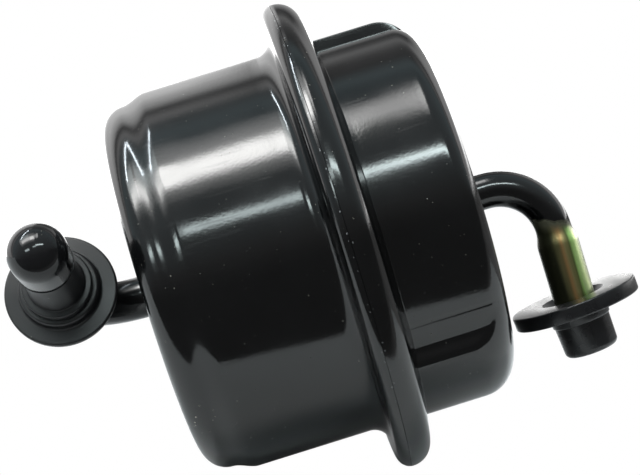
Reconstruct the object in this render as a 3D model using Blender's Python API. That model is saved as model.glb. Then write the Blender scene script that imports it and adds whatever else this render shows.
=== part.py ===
"""In-line fuel filter: a pressed steel can in two halves, with bent pipes, a pleated element and transit caps.

The can's axis is the X axis. The inlet pipe leaves the -X end, the outlet pipe leaves the +X end.
X = 0 is the flat face of the body's flange, and +Z is opposite to the outlet pipe's free leg.
Every length is in metres.
"""

import math

import bmesh
import bpy
from mathutils import Matrix, Vector

MM = 0.001

# Sheet and clearances
SHEET = 1.2 * MM                # pressed steel of the body and the lid
GAP = 0.3 * MM                  # left between neighbouring pieces

# Body: the deep cup on the inlet side
BODY_R = 45.0 * MM
BODY_NOSE_R = 43.4 * MM         # radius of the stepped-down closed end
BODY_STEP_FROM = 30.5 * MM      # the step's large end, measured back from the flange
BODY_STEP_TO = 36.4 * MM        # the step's small end
BODY_LENGTH = 42.0 * MM
BODY_CORNER = 5.8 * MM
BODY_CROWN = 0.8 * MM
BODY_FOOT = 4.0 * MM            # fillet between the wall and the flange
HEM_THICK = 2.3 * MM            # the flange folded back on itself
HEM_FLAT_R = 52.3 * MM          # where the flange's flat face ends and its rounded edge begins
HEM_EDGE_R = 3.2 * MM
HEM_EDGE_FROM = 108.0           # degrees from +X at which the rounded edge begins
HEM_CORNER = 0.15 * MM
HEM_INNER_R = 49.5 * MM

# Lid: the shallow cup on the outlet side, with its flange rolled over the hem
LID_R = 45.3 * MM
LID_PANEL_R = 42.3 * MM         # the recessed panel in the lid's wall
LID_LENGTH = 32.1 * MM
LID_CORNER = 8.0 * MM
PANEL_CORNER = 5.0 * MM
LID_CROWN = 0.8 * MM
ROLL_R = 5.1 * MM               # outer radius of the rolled rim
ROLL_CENTRE_X = 3.2 * MM
ROLL_CENTRE_R = 50.4 * MM
ROLL_LIP = 96.6                 # degrees from +X at which the rolled edge ends
ROLL_SLOPE = 10.0               # degrees by which the rim's far face leans
LID_FOOT = 0.5 * MM             # fillet between the rim and the lid's wall
PANEL_FOOT = 0.6 * MM
PANEL_TOP = 93.4                # degrees about the axis, 0 at -Y and 90 at +Z
PANEL_TOP_RISE = 0.4            # degrees that the upper step takes
PANEL_BOTTOM = -39.7
PANEL_BOTTOM_RISE = -2.3
STEP_SHEET = 1.7                # degrees that the sheet's thickness takes in a step

# Pipes
INLET_R = 4.85 * MM
OUTLET_R = 4.2 * MM
OUTLET_END_R = 4.9 * MM         # the outlet pipe's widened end
PIPE_WALL = 1.0 * MM
INLET_CORNER_X = -60.9 * MM     # where the pipe's two straight lines would meet
INLET_BEND = 16.5 * MM
INLET_LEG_RISE = 20.9           # degrees above -Y
INLET_LEG_LEAN = 2.0            # degrees by which the leg leans back over the can, towards +X
INLET_LEG = 33.0 * MM           # from the corner to the free end
INLET_START_X = -40.3 * MM
OUTLET_CORNER_X = 51.1 * MM
OUTLET_BEND = 13.1 * MM
OUTLET_WIDE_AT = 17.0 * MM      # how far down the leg the pipe reaches its widened size
OUTLET_LEG = 37.5 * MM
OUTLET_START_X = 25.0 * MM

# Inlet cap, by distance along the leg from the corner
INLET_DISC_BACK = 20.4 * MM
INLET_DISC_FRONT = 22.0 * MM
INLET_DISC_R = 12.5 * MM
INLET_FOOT_R = 8.9 * MM
INLET_RING_R = 7.7 * MM
INLET_NECK_R = 5.9 * MM
INLET_NOSE_R = 6.4 * MM
INLET_NOSE_AT = 48.4 * MM       # centre of the rounded tip
INLET_NOSE_EDGE = 43.6 * MM     # where the nose ends in a sharp edge over the neck
INLET_CAP_WALL_END = 46.0 * MM  # how far the bore reaches

# Outlet cap, by distance down the leg from the corner
OUTLET_DISC_TOP = 29.5 * MM
OUTLET_DISC_THICK = 3.4 * MM
OUTLET_DISC_R = 15.0 * MM
OUTLET_STUB_R = 7.0 * MM
OUTLET_STUB_END_R = 6.4 * MM
OUTLET_STUB_LENGTH = 10.2 * MM
OUTLET_CAP_LEAN = 4.0           # degrees by which the loose cap leans, its tip towards +X
OUTLET_CAP_PIVOT = 33.5 * MM

# Element
MEDIA_OUT_R = 37.6 * MM
MEDIA_IN_R = 20.8 * MM
MEDIA_FROM = -26.0 * MM
MEDIA_TO = 21.6 * MM
PLEATS = 34
CORE_R = 19.0 * MM
CORE_WALL = 0.8 * MM
PLATE = 1.0 * MM
PLATE_R = 39.6 * MM
POTTING = 1.2 * MM
COLLAR_R = 9.2 * MM
BAFFLE_FACE = -37.9 * MM        # the baffle's face that the spring stands on
BRAZE_WIDTH = 1.3 * MM
BRAZE_HOLLOW = 0.82             # radius of the fillet's hollow, as a share of its width

SHELL_SIDES = 48
STEP_ROWS = 4
RING_SIDES = 32
PIPE_SIDES = 16
CAP_SIDES = 24


def clear_scene():
    for thing in list(bpy.data.objects):
        bpy.data.objects.remove(thing, do_unlink=True)


def material(name, colour, roughness, metallic):
    made = bpy.data.materials.new(name)
    made.use_nodes = True
    shader = made.node_tree.nodes["Principled BSDF"]
    shader.inputs["Base Color"].default_value = (*colour, 1.0)
    shader.inputs["Roughness"].default_value = roughness
    shader.inputs["Metallic"].default_value = metallic
    return made


def finish(bm, name, look, smooth_below=35.0):
    """Make an object of a closed mesh, with its faces pointing out."""
    bmesh.ops.remove_doubles(bm, verts=bm.verts, dist=1e-7)
    bmesh.ops.recalc_face_normals(bm, faces=bm.faces)
    mesh = bpy.data.meshes.new(name)
    bm.to_mesh(mesh)
    bm.free()
    mesh.shade_smooth()
    mesh.set_sharp_from_angle(angle=math.radians(smooth_below))
    made = bpy.data.objects.new(name, mesh)
    bpy.context.collection.objects.link(made)
    mesh.materials.append(material(name + "_look", *look))
    return made


def arc(centre, radius, start, end, steps):
    """Points on an arc in (along, out) coordinates, from start to end degrees."""
    points = []
    for i in range(steps + 1):
        angle = math.radians(start + (end - start) * i / steps)
        points.append((centre[0] + radius * math.cos(angle), centre[1] + radius * math.sin(angle)))
    return points


def turned(name, outline, look, sides, axis="X"):
    """Spin a closed outline of (along, out) points about the X or the Z axis."""
    bm = bmesh.new()
    along = Vector((1, 0, 0)) if axis == "X" else Vector((0, 0, 1))
    out = Vector((0, 0, 1)) if axis == "X" else Vector((1, 0, 0))
    ring = [bm.verts.new(along * a + out * r) for a, r in outline]
    pairs = list(zip(ring, ring[1:] + ring[:1]))
    edges = [bm.edges.new(p) for p in pairs if not on_axis(p, out)]
    bmesh.ops.spin(
        bm, geom=ring + edges, cent=(0, 0, 0), axis=along, angle=math.tau, steps=sides, use_merge=True
    )
    bmesh.ops.remove_doubles(bm, verts=bm.verts, dist=1e-7)
    bmesh.ops.dissolve_degenerate(bm, edges=bm.edges, dist=1e-7)
    return finish(bm, name, look)


def on_axis(pair, out):
    return all(abs(v.co.dot(out)) < 1e-9 for v in pair)


def skin(bm, rings, closed_rows):
    """Faces between neighbouring rings of vertices, each ring being a closed loop."""
    rows = list(zip(rings, rings[1:] + rings[:1])) if closed_rows else list(zip(rings, rings[1:]))
    for lower, upper in rows:
        for i in range(len(lower)):
            j = (i + 1) % len(lower)
            bm.faces.new((lower[i], lower[j], upper[j], upper[i]))


def circle(bm, centre, across, up, radius, sides):
    """A ring of vertices round a point, in the plane of two unit vectors."""
    ring = []
    for i in range(sides):
        angle = math.tau * i / sides
        ring.append(bm.verts.new(centre + across * radius * math.cos(angle) + up * radius * math.sin(angle)))
    return ring


def pipe(name, stations, look, sides):
    """A hollow pipe, bent in one plane, through stations of (centre, direction, outer and inner radius)."""
    bm = bmesh.new()
    normal = stations[0][1].cross(stations[-1][1]).normalized()
    outer = []
    inner = []
    for centre, direction, r_out, r_in in stations:
        side = normal.cross(direction).normalized()
        outer.append(circle(bm, centre, side, normal, r_out, sides))
        inner.append(circle(bm, centre, side, normal, r_in, sides))
    skin(bm, outer + inner[::-1], closed_rows=True)
    return finish(bm, name, look)


def bend_stations(corner, towards, leaving, radius, steps):
    """Centres and directions round a bend whose two straight lines meet at corner."""
    half = 0.5 * towards.angle(leaving)
    reach = radius * math.tan(half)
    inward = (leaving - towards).normalized()
    centre = corner + inward * radius / math.cos(half)
    spoke = (corner - towards * reach) - centre
    axis = towards.cross(leaving).normalized()
    found = []
    for i in range(steps + 1):
        turn = Matrix.Rotation(2 * half * i / steps, 3, axis)
        found.append((centre + turn @ spoke, turn @ towards))
    return found


# ---------------------------------------------------------------- can

STEEL_PAINT = ((0.012, 0.013, 0.014), 0.16, 0.0)
BARE_STEEL = ((0.46, 0.47, 0.48), 0.38, 1.0)
BRAZE = ((0.03, 0.03, 0.031), 0.4, 0.3)


def body_side(inset):
    """The body's wall, corner and end from the flange fillet to the pipe hole, moved in by inset."""
    points = arc((-BODY_FOOT, BODY_R + BODY_FOOT), BODY_FOOT + inset, 0, -90, 3)
    drop = BODY_R - BODY_NOSE_R
    run = BODY_STEP_TO - BODY_STEP_FROM
    for i in range(STEP_ROWS + 1):
        t = i / STEP_ROWS
        ease = t * t * (3 - 2 * t)
        points.append((-BODY_STEP_FROM - run * t, BODY_R - inset - drop * ease))
    corner = (-BODY_LENGTH + BODY_CORNER, BODY_NOSE_R - BODY_CORNER)
    points += arc(corner, BODY_CORNER - inset, 80, 180, 4)
    points += crown(-BODY_LENGTH + inset, BODY_NOSE_R - BODY_CORNER, -BODY_CROWN, INLET_R + GAP)
    return points


def crown(end_x, edge_r, rise, hole_r):
    """A slightly domed end face, from its edge in to the pipe hole."""
    points = []
    share = 0.5
    points.append((end_x + rise * (1 - share * share), edge_r * share))
    points.append((end_x + rise, hole_r))
    return points


def make_body_shell():
    edge = arc((HEM_EDGE_R, HEM_FLAT_R), HEM_EDGE_R, HEM_EDGE_FROM, 180, 4)
    corner = (HEM_THICK, edge[0][1] - HEM_CORNER)
    outside = body_side(0.0)
    inside = body_side(SHEET)[::-1]
    fold = [(SHEET, HEM_INNER_R), (HEM_THICK, HEM_INNER_R)]
    return turned("body_shell", [corner] + edge + outside + inside + fold, STEEL_PAINT, SHELL_SIDES)


def lid_side(inset, wall_r, foot, corner_r):
    """The lid's rolled rim, wall, corner and end, moved in by inset. It keeps the same count of points."""
    slope = math.radians(ROLL_SLOPE)
    points = arc((ROLL_CENTRE_X, ROLL_CENTRE_R), ROLL_R - inset, ROLL_LIP, ROLL_SLOPE, 5)
    foot_out = wall_r + foot
    lean = (foot_out - ROLL_CENTRE_R) * math.sin(slope)
    foot_along = ROLL_CENTRE_X + (ROLL_R + foot - lean) / math.cos(slope)
    points += arc((foot_along, foot_out), foot + inset, 180 + ROLL_SLOPE, 270, 2)
    points += arc((LID_LENGTH - corner_r, wall_r - corner_r), corner_r - inset, 90, 0, 4)
    points += crown(LID_LENGTH - inset, LID_R - LID_CORNER, LID_CROWN, OUTLET_R + GAP)
    return points


def lid_wall(inset):
    return lid_side(inset, LID_R, LID_FOOT, LID_CORNER)


def lid_panel(inset):
    return lid_side(inset, LID_PANEL_R, PANEL_FOOT, PANEL_CORNER)


def lid_columns():
    """Angles round the lid, each with the outer and the inner outline found there."""
    top = PANEL_TOP + PANEL_TOP_RISE
    bottom = PANEL_BOTTOM + PANEL_BOTTOM_RISE
    stations = [
        (PANEL_TOP, lid_panel, lid_panel),
        (top, lid_wall, lid_panel),
        (top + STEP_SHEET, lid_wall, lid_wall),
    ]
    span = 360 + bottom - STEP_SHEET - (top + STEP_SHEET)
    count = round(SHELL_SIDES * span / 360)
    for i in range(1, count):
        stations.append((top + STEP_SHEET + span * i / count, lid_wall, lid_wall))
    stations.append((360 + bottom - STEP_SHEET, lid_wall, lid_wall))
    stations.append((360 + bottom, lid_wall, lid_panel))
    span = PANEL_TOP - PANEL_BOTTOM
    count = round(SHELL_SIDES * span / 360)
    for i in range(count):
        stations.append((360 + PANEL_BOTTOM + span * i / count, lid_panel, lid_panel))
    return stations


def make_lid_shell():
    bm = bmesh.new()
    columns = []
    for degrees, outer, inner in lid_columns():
        turn = math.radians(degrees)
        outline = outer(0.0) + inner(SHEET)[::-1]
        columns.append([bm.verts.new((a, -r * math.cos(turn), r * math.sin(turn))) for a, r in outline])
    skin(bm, columns, closed_rows=True)
    return finish(bm, "lid_shell", STEEL_PAINT)


def make_seam_gasket():
    left = HEM_THICK + GAP
    right = 6.0 * MM
    bottom = 47.8 * MM
    top = 51.8 * MM
    cut = 0.8 * MM
    outline = [
        (left, bottom), (left, top), (right - cut, top),
        (right, top - cut), (right, bottom + cut), (right - cut, bottom),
    ]
    return turned("seam_gasket", outline, ((0.03, 0.028, 0.026), 0.7, 0.0), RING_SIDES)


def make_braze_ring(name, face_x, pipe_r, sign):
    """The fillet of braze metal that closes the corner between a pipe and the can's end."""
    inner = pipe_r + GAP
    start = face_x + sign * GAP
    end = start + sign * BRAZE_WIDTH
    hollow = BRAZE_WIDTH * BRAZE_HOLLOW
    middle = (end, inner + BRAZE_WIDTH)
    if sign > 0:
        curve = arc(middle, hollow, 270, 180, 3)
    else:
        curve = arc(middle, hollow, -90, 0, 3)
    outline = [(start, inner), (end, inner)] + curve + [(start, inner + BRAZE_WIDTH)]
    return turned(name, outline, BRAZE, RING_SIDES // 2)


def make_inlet_pipe():
    towards = Vector((-1, 0, 0))
    leaving = inlet_leg_direction()
    corner = Vector((INLET_CORNER_X, 0, 0))
    bore = INLET_R - PIPE_WALL
    stations = [(Vector((INLET_START_X, 0, 0)), towards, INLET_R, bore)]
    for centre, direction in bend_stations(corner, towards, leaving, INLET_BEND, 6):
        stations.append((centre, direction, INLET_R, bore))
    stations.append((corner + leaving * INLET_LEG, leaving, INLET_R, bore))
    return pipe("inlet_pipe", stations, STEEL_PAINT, PIPE_SIDES)


def inlet_leg_direction():
    rise = math.radians(INLET_LEG_RISE)
    lean = math.radians(INLET_LEG_LEAN)
    return Vector((math.sin(lean), -math.cos(rise) * math.cos(lean), math.sin(rise) * math.cos(lean)))


def make_outlet_pipe():
    towards = Vector((1, 0, 0))
    leaving = Vector((0, 0, -1))
    corner = Vector((OUTLET_CORNER_X, 0, 0))
    bore = OUTLET_R - PIPE_WALL
    end_bore = OUTLET_END_R - PIPE_WALL
    stations = [(Vector((OUTLET_START_X, 0, 0)), towards, OUTLET_R, bore)]
    for centre, direction in bend_stations(corner, towards, leaving, OUTLET_BEND, 7):
        stations.append((centre, direction, OUTLET_R, bore))
    stations.append((corner + leaving * OUTLET_WIDE_AT, leaving, OUTLET_END_R, end_bore))
    stations.append((corner + leaving * OUTLET_LEG, leaving, OUTLET_END_R, end_bore))
    return pipe("outlet_pipe", stations, STEEL_PAINT, PIPE_SIDES)


# ---------------------------------------------------------------- transit caps

CAP_PLASTIC = ((0.014, 0.014, 0.015), 0.3, 0.0)


def place_cap(made, corner, leg, axis, pivot):
    """Stand a cap, made along +Z from the pipe's corner, on its leg, turned to axis about the pivot."""
    stand = bpy.data.objects.new(made.name + "_slide_axis", None)
    bpy.context.collection.objects.link(stand)
    stand.location = corner
    turn = Vector((0, 0, 1)).rotation_difference(axis).to_matrix().to_4x4()
    made.parent = stand
    made.matrix_local = Matrix.Translation(leg * pivot) @ turn @ Matrix.Translation((0, 0, -pivot))


def make_inlet_cap():
    bore = INLET_R + GAP
    mouth = 7.3 * MM
    edge = 0.5 * MM
    front = INLET_DISC_FRONT
    back = INLET_DISC_BACK
    foot_top = front + 3.0 * MM
    ring_top = front + 5.2 * MM
    outline = [(back, mouth), (back, INLET_DISC_R - edge), (back + edge, INLET_DISC_R)]
    outline += [(front - edge, INLET_DISC_R), (front, INLET_DISC_R - edge)]
    outline += [(front, INLET_FOOT_R + 0.6 * MM), (front + 0.5 * MM, INLET_FOOT_R)]
    outline += [(foot_top - 0.6 * MM, INLET_FOOT_R - 0.2 * MM), (foot_top, INLET_RING_R + 0.5 * MM)]
    outline += [(foot_top, INLET_RING_R), (ring_top - 0.3 * MM, INLET_RING_R)]
    outline += [(ring_top, INLET_RING_R - 0.4 * MM), (ring_top, INLET_NECK_R + 0.6 * MM)]
    outline += [(INLET_NOSE_EDGE, INLET_NECK_R), (INLET_NOSE_EDGE, INLET_NOSE_R)]
    outline += arc((INLET_NOSE_AT, 0.0), INLET_NOSE_R, 90, 0, 5)[:-1]
    outline += [(INLET_NOSE_AT + INLET_NOSE_R, 0.0), (INLET_CAP_WALL_END + 1.0 * MM, 0.0)]
    outline += [(INLET_CAP_WALL_END, bore), (back + 2.0 * MM, bore)]
    made = turned("inlet_cap", outline, CAP_PLASTIC, CAP_SIDES, axis="Z")
    leg = inlet_leg_direction()
    place_cap(made, Vector((INLET_CORNER_X, 0, 0)), leg, leg, INLET_DISC_FRONT)
    return made


def make_outlet_cap():
    bore = 5.5 * MM
    mouth = 7.6 * MM
    edge = 0.4 * MM
    top = OUTLET_DISC_TOP
    under = top + OUTLET_DISC_THICK
    step = under + 2.4 * MM
    end = under + OUTLET_STUB_LENGTH
    round_r = 1.4 * MM
    floor = 2.0 * MM
    outline = [(top, mouth), (top, OUTLET_DISC_R - edge), (top + edge, OUTLET_DISC_R)]
    outline += [(under - edge, OUTLET_DISC_R), (under, OUTLET_DISC_R - edge)]
    outline += [(under, OUTLET_STUB_R + 0.6 * MM), (under + 0.6 * MM, OUTLET_STUB_R)]
    outline += [(step, OUTLET_STUB_R - 0.1 * MM), (step + 0.5 * MM, OUTLET_STUB_R - 0.4 * MM)]
    outline += arc((end - round_r, OUTLET_STUB_END_R - round_r), round_r, 85, 0, 3)
    outline += [(end, 0.0), (end - floor, 0.0), (end - floor, bore - 0.5 * MM)]
    outline += [(end - floor - 0.5 * MM, bore), (top + 2.0 * MM, bore)]
    made = turned("outlet_cap", outline, CAP_PLASTIC, CAP_SIDES, axis="Z")
    lean = math.radians(OUTLET_CAP_LEAN)
    axis = Vector((math.sin(lean), 0, -math.cos(lean)))
    place_cap(made, Vector((OUTLET_CORNER_X, 0, 0)), Vector((0, 0, -1)), axis, OUTLET_CAP_PIVOT)
    return made


# ---------------------------------------------------------------- element inside the can

PAPER = ((0.76, 0.62, 0.36), 0.9, 0.0)
RESIN = ((0.55, 0.44, 0.24), 0.5, 0.0)
RUBBER = ((0.02, 0.02, 0.02), 0.75, 0.0)


def make_filter_media():
    """A pleated strip wrapped into a ring, open at its seam."""
    bm = bmesh.new()
    pitch = math.tau / (PLEATS + 1)
    outer_half = 0.6 * MM / MEDIA_OUT_R
    inner_half = 0.45 * MM / MEDIA_IN_R
    path = []
    for i in range(PLEATS):
        middle = pitch * (i + 1)
        path.append((MEDIA_IN_R, middle - pitch / 2 + inner_half))
        path.append((MEDIA_OUT_R, middle - outer_half))
        path.append((MEDIA_OUT_R, middle + outer_half))
        path.append((MEDIA_IN_R, middle + pitch / 2 - inner_half))
    near = [bm.verts.new((MEDIA_FROM, r * math.sin(a), -r * math.cos(a))) for r, a in path]
    far = [bm.verts.new((MEDIA_TO, r * math.sin(a), -r * math.cos(a))) for r, a in path]
    for i in range(len(path) - 1):
        bm.faces.new((near[i], near[i + 1], far[i + 1], far[i]))
    made = finish(bm, "filter_media", PAPER, smooth_below=20.0)
    solid = made.modifiers.new("paper", "SOLIDIFY")
    solid.thickness = 0.5 * MM
    solid.offset = 0.0
    solid.use_even_offset = False
    return made


def make_media_seam_clip():
    """The folded strip at the bottom of the element that holds the two ends of the pleated paper together."""
    bm = bmesh.new()
    half_width = 1.6 * MM
    low = MEDIA_OUT_R + 0.3 * MM
    high = low + 0.9 * MM
    bmesh.ops.create_cube(bm, size=1.0)
    length = MEDIA_TO - MEDIA_FROM - 5.0 * MM
    middle = (MEDIA_TO + MEDIA_FROM) / 2
    bmesh.ops.scale(bm, vec=(length, 2 * half_width, high - low), verts=bm.verts)
    bmesh.ops.translate(bm, vec=(middle, 0, -(low + high) / 2), verts=bm.verts)
    return finish(bm, "media_seam_clip", BARE_STEEL)


def make_core_tube():
    """The perforated tube that carries the pleats, with a window in every second cell of its wall."""
    bm = bmesh.new()
    rows = 9
    sides = 20
    outer = []
    inner = []
    across = Vector((0, 1, 0))
    up = Vector((0, 0, 1))
    for row in range(rows + 1):
        centre = Vector((MEDIA_FROM + (MEDIA_TO - MEDIA_FROM) * row / rows, 0, 0))
        outer.append(circle(bm, centre, across, up, CORE_R, sides))
        inner.append(circle(bm, centre, across, up, CORE_R - CORE_WALL, sides))
    for row in range(rows):
        for i in range(sides):
            j = (i + 1) % sides
            out = (outer[row][i], outer[row][j], outer[row + 1][j], outer[row + 1][i])
            inn = (inner[row][i], inner[row][j], inner[row + 1][j], inner[row + 1][i])
            if row % 2 == 1 and i % 2 == 0:
                for a in range(4):
                    b = (a + 1) % 4
                    bm.faces.new((out[a], out[b], inn[b], inn[a]))
            else:
                bm.faces.new(out)
                bm.faces.new(inn[::-1])
    skin(bm, [outer[0], inner[0]], closed_rows=False)
    skin(bm, [outer[-1], inner[-1]], closed_rows=False)
    return finish(bm, "core_tube", BARE_STEEL)


def make_potting(name, from_x):
    """The ring of resin that bonds the pleats' ends to an end plate."""
    inner = CORE_R - CORE_WALL - 0.6 * MM
    outer = PLATE_R - PLATE - GAP
    outline = [(from_x, inner), (from_x, outer), (from_x + POTTING, outer), (from_x + POTTING, inner)]
    return turned(name, outline, RESIN, RING_SIDES)


def make_outlet_end_plate():
    """The element's open end plate: a lip round the potting and a collar for the grommet."""
    face = MEDIA_TO + GAP + POTTING + GAP
    lip = 3.2 * MM
    collar = 3.4 * MM
    outline = [(face - lip, PLATE_R - PLATE), (face - lip, PLATE_R), (face + PLATE, PLATE_R)]
    outline += [(face + PLATE, COLLAR_R), (face + PLATE + collar, COLLAR_R)]
    outline += [(face + PLATE + collar, COLLAR_R - PLATE), (face, COLLAR_R - PLATE)]
    outline += [(face, PLATE_R - PLATE)]
    return turned("outlet_end_plate", outline, BARE_STEEL, RING_SIDES)


def make_inlet_end_plate():
    """The element's closed end plate, with a pressed boss that centres the spring."""
    face = MEDIA_FROM - GAP - POTTING - GAP
    lip = 3.2 * MM
    boss = 2.0 * MM
    boss_r = 8.6 * MM
    outline = [(face + lip, PLATE_R - PLATE), (face + lip, PLATE_R), (face - PLATE, PLATE_R)]
    outline += [(face - PLATE, boss_r), (face - PLATE - boss, boss_r - 0.8 * MM), (face - PLATE - boss, 0.0)]
    outline += [(face - boss, 0.0), (face - boss, boss_r - 1.6 * MM)]
    outline += [(face, boss_r - 0.6 * MM), (face, PLATE_R - PLATE)]
    return turned("inlet_end_plate", outline, BARE_STEEL, RING_SIDES)


def make_outlet_grommet():
    """The rubber seal between the element's collar and the outlet pipe."""
    face = MEDIA_TO + GAP + POTTING + GAP
    inner = OUTLET_R + GAP
    outer = COLLAR_R - PLATE - GAP
    start = OUTLET_START_X + 0.6 * MM
    end = face + PLATE + 3.4 * MM + GAP
    outline = [(start, inner), (start, outer), (end, outer), (end, COLLAR_R), (end + 1.0 * MM, COLLAR_R)]
    outline += [(end + 1.0 * MM, inner)]
    return turned("outlet_grommet", outline, RUBBER, RING_SIDES // 2)


def make_spring_seat():
    """The dished washer between the spring and the closed end plate."""
    back = MEDIA_FROM - GAP - POTTING - GAP - PLATE - GAP
    outline = [(back, 9.2 * MM), (back, 14.5 * MM), (back - 2.0 * MM, 15.5 * MM), (back - 2.0 * MM, 14.7 * MM)]
    outline += [(back - 0.8 * MM, 14.0 * MM), (back - 0.8 * MM, 9.2 * MM)]
    return turned("spring_seat", outline, BARE_STEEL, RING_SIDES // 2)


def make_preload_spring():
    """The coil spring that pushes the element against the outlet."""
    bm = bmesh.new()
    wire = 0.8 * MM
    radius = 11.4 * MM
    start = MEDIA_FROM - GAP - POTTING - GAP - PLATE - GAP - 0.8 * MM - GAP - wire
    end = BAFFLE_FACE + GAP + wire
    turns = 2.5
    per_turn = 14
    count = int(turns * per_turn)
    rings = []
    for i in range(count + 1):
        angle = math.tau * i / per_turn
        spoke = Vector((0, math.cos(angle), math.sin(angle)))
        centre = spoke * radius + Vector((start + (end - start) * i / count, 0, 0))
        rings.append(circle(bm, centre, Vector((1, 0, 0)), spoke, wire, 6))
    skin(bm, rings, closed_rows=False)
    bm.faces.new(rings[0])
    bm.faces.new(rings[-1])
    return finish(bm, "preload_spring", BARE_STEEL, smooth_below=60.0)


def make_inlet_baffle():
    """The plate that spreads the incoming fuel and carries the spring, standing on three feet."""
    bm = bmesh.new()
    face = BAFFLE_FACE
    thick = 0.9 * MM
    sides = 24
    radius = 15.5 * MM
    foot_reach = 18.5 * MM
    foot_end = -BODY_LENGTH + SHEET + GAP
    rims = []
    for x in (face - thick, face):
        rims.append(circle(bm, Vector((x, 0, 0)), Vector((0, 1, 0)), Vector((0, 0, 1)), radius, sides))
    skin(bm, rims, closed_rows=False)
    bm.faces.new(rims[0])
    bm.faces.new(rims[1])
    bmesh.ops.recalc_face_normals(bm, faces=bm.faces)
    for third in range(3):
        angle = math.tau * (third * 8 + 0.5) / sides
        spoke = Vector((0, math.cos(angle), math.sin(angle)))
        sides_only = [f for f in bm.faces if abs(f.normal.x) < 0.1]
        rim = max(sides_only, key=lambda f: f.calc_center_median().dot(spoke))
        arm = bmesh.ops.extrude_discrete_faces(bm, faces=[rim])["faces"][0]
        bmesh.ops.translate(bm, vec=spoke * (foot_reach - radius), verts=arm.verts)
        bm.normal_update()
        under = [f for f in bm.faces if is_foot_underside(f, spoke, radius)]
        foot = bmesh.ops.extrude_discrete_faces(bm, faces=under)["faces"][0]
        bmesh.ops.translate(bm, vec=(foot_end - (face - thick), 0, 0), verts=foot.verts)
        bm.normal_update()
    return finish(bm, "inlet_baffle", BARE_STEEL)


def is_foot_underside(face, spoke, radius):
    centre = face.calc_center_median()
    return face.normal.x < -0.9 and centre.dot(spoke) > radius


def main():
    clear_scene()
    make_body_shell()
    make_lid_shell()
    make_seam_gasket()
    make_inlet_pipe()
    make_outlet_pipe()
    make_braze_ring("inlet_braze_ring", -BODY_LENGTH - BODY_CROWN, INLET_R, -1)
    make_braze_ring("outlet_braze_ring", LID_LENGTH + LID_CROWN, OUTLET_R, 1)
    make_inlet_cap()
    make_outlet_cap()
    make_filter_media()
    make_media_seam_clip()
    make_core_tube()
    make_potting("inlet_potting", MEDIA_FROM - GAP - POTTING)
    make_potting("outlet_potting", MEDIA_TO + GAP)
    make_outlet_end_plate()
    make_inlet_end_plate()
    make_outlet_grommet()
    make_spring_seat()
    make_preload_spring()
    make_inlet_baffle()


main()
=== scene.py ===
"""Looks of an in-line fuel filter: a gloss black pressed can, bent pipes and two transit caps.

The can's axis is the X axis, and X = 0 is the flat face of the body's flange. Every length is in metres.
"""

import math

import bmesh
import bpy
from mathutils import Matrix, Vector


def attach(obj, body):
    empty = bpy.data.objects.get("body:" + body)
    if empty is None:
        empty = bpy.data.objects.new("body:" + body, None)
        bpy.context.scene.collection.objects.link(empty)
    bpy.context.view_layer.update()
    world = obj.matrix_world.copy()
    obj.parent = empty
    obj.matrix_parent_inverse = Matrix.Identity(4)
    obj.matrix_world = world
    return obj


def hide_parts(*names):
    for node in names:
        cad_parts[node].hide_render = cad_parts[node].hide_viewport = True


MM = 0.001

# Sheet and clearances
SHEET = 1.2 * MM
GAP = 0.3 * MM

# Body
BODY_R = 45.0 * MM
BODY_NOSE_R = 43.4 * MM
BODY_STEP_FROM = 30.5 * MM
BODY_STEP_TO = 36.4 * MM
BODY_LENGTH = 42.0 * MM
BODY_CORNER = 5.8 * MM
BODY_CROWN = 0.8 * MM
BODY_FOOT = 4.0 * MM
HEM_THICK = 2.3 * MM
HEM_FLAT_R = 52.3 * MM
HEM_EDGE_R = 3.2 * MM
HEM_EDGE_FROM = 105.0
HEM_CORNER = 0.12 * MM
HEM_INNER_R = 49.5 * MM
HEM_SEAM = 0.02 * MM            # width of the open line between the hem and the rolled rim

# Lid
LID_R = 45.3 * MM
LID_PANEL_R = 42.3 * MM
LID_LENGTH = 32.1 * MM
LID_CORNER = 8.0 * MM
PANEL_CORNER = 5.0 * MM
LID_CROWN = 0.8 * MM
ROLL_R = 5.1 * MM
ROLL_CENTRE_X = 3.2 * MM
ROLL_CENTRE_R = 50.4 * MM
ROLL_LIP = 98.0
ROLL_SLOPE = 10.0
LID_FOOT = 0.2 * MM
PANEL_FOOT = 0.2 * MM
PANEL_TOP = 93.4
PANEL_TOP_RISE = 0.3
STEP_FILLET = 0.25 * MM         # rounding at the foot and at the crest of the panel's upper step
STEP_MIDDLE = -40.1             # the lower step: the middle of its slope, and the degrees that it takes
STEP_SPAN = 5.6
STEP_FADE_FROM = 25.0 * MM      # towards the end face the lower step spreads to STEP_SPREAD times its span
STEP_FADE_TO = 31.0 * MM
STEP_SPREAD = 4.0
CREASE_AT = -29.9               # a faint pressed crease along the panel, above its lower step
CREASE_WIDTH = 0.8
CREASE_DEPTH = 0.13 * MM
CREASE_FROM = 8.3 * MM
CREASE_TO = 29.6 * MM
CREASE_END = 2.0 * MM           # how far the crease takes to deepen at each end

# Braze fillets
BRAZE_WIDTH = 1.3 * MM
BRAZE_HOLLOW = 0.82             # radius of the fillet's hollow, as a share of its width

# Pipes
INLET_R = 4.85 * MM
OUTLET_R = 4.2 * MM
OUTLET_END_R = 4.9 * MM
PIPE_WALL = 1.0 * MM
INLET_CORNER_X = -60.9 * MM
INLET_BEND = 16.5 * MM
INLET_LEG_RISE = 20.9
INLET_LEG_LEAN = 2.0
INLET_LEG = 33.0 * MM
INLET_START_X = -40.3 * MM
OUTLET_CORNER_X = 51.1 * MM
OUTLET_BEND = 13.1 * MM
OUTLET_WIDE_AT = 17.0 * MM
OUTLET_LEG = 37.5 * MM
OUTLET_START_X = 25.0 * MM

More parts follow.
